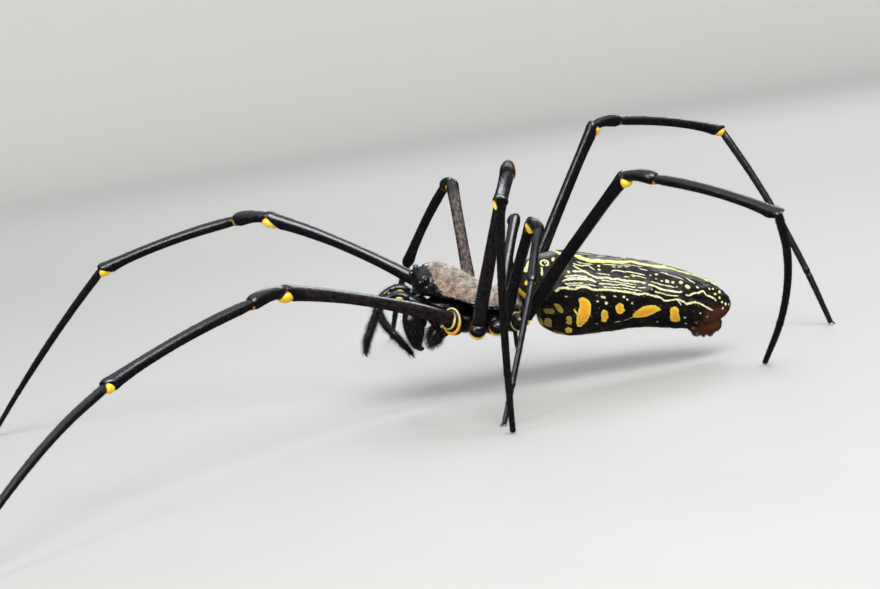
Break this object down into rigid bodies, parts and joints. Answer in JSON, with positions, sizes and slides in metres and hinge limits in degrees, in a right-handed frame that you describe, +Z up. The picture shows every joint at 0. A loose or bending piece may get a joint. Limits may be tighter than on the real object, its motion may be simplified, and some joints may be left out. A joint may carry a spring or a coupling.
{
  "type": "golden silk orb weaver",
  "caption": "Life-size orb-weaving spider model standing in a walking pose, with a long banded abdomen, a downy carapace and long black legs.",
  "frame": {"origin": "centre of the footprint of the whole bounding box, on the floor that the eight feet stand on", "axes": "+Z up; the head faces -X and the abdomen +X; the spider's left side is towards -Y"},
  "size_m": [0.1183, 0.127, 0.0325],
  "materials": {
    "cuticle": "glossy black leg cuticle with fine bristles and small yellow joint spots",
    "carapace_down": "short silvery-brown down, glossy black at the front of the head",
    "abdomen": "satin black skin with thin wavy yellow lines and yellow-orange side spots",
    "eyes": "polished black",
    "spinnerets": "satin red-brown"
  },
  "bodies": {
    "root": {"abdomen": "abdomen", "carapace": "carapace_down", "chelicera_left": "cuticle", "chelicera_right": "cuticle", "eye_left_front_lateral": "eyes", "eye_left_front_median": "eyes", "eye_left_rear_lateral": "eyes", "eye_left_rear_median": "eyes", "eye_right_front_lateral": "eyes", "eye_right_front_median": "eyes", "eye_right_rear_lateral": "eyes", "eye_right_rear_median": "eyes", "leg_left_1_coxa": "cuticle", "leg_left_1_femur": "cuticle", "leg_left_1_foot": "cuticle", "leg_left_1_patella": "cuticle", "leg_left_1_tibia": "cuticle", "leg_left_2_coxa": "cuticle", "leg_left_2_femur": "cuticle", "leg_left_2_foot": "cuticle", "leg_left_2_patella": "cuticle", "leg_left_2_tibia": "cuticle", "leg_left_3_coxa": "cuticle", "leg_left_3_femur": "cuticle", "leg_left_3_foot": "cuticle", "leg_left_3_patella": "cuticle", "leg_left_3_tibia": "cuticle", "leg_left_4_coxa": "cuticle", "leg_left_4_femur": "cuticle", "leg_left_4_foot": "cuticle", "leg_left_4_patella": "cuticle", "leg_left_4_tibia": "cuticle", "leg_right_1_coxa": "cuticle", "leg_right_1_femur": "cuticle", "leg_right_1_foot": "cuticle", "leg_right_1_patella": "cuticle", "leg_right_1_tibia": "cuticle", "leg_right_2_coxa": "cuticle", "leg_right_2_femur": "cuticle", "leg_right_2_foot": "cuticle", "leg_right_2_patella": "cuticle", "leg_right_2_tibia": "cuticle", "leg_right_3_coxa": "cuticle", "leg_right_3_femur": "cuticle", "leg_right_3_foot": "cuticle", "leg_right_3_patella": "cuticle", "leg_right_3_tibia": "cuticle", "leg_right_4_coxa": "cuticle", "leg_right_4_femur": "cuticle", "leg_right_4_foot": "cuticle", "leg_right_4_patella": "cuticle", "leg_right_4_tibia": "cuticle", "palp_left_femur": "cuticle", "palp_left_tibia": "cuticle", "palp_right_femur": "cuticle", "palp_right_tibia": "cuticle", "pedicel": "cuticle", "spinnerets": "spinnerets", "sternum": "cuticle"}
  },
  "joints": []
}
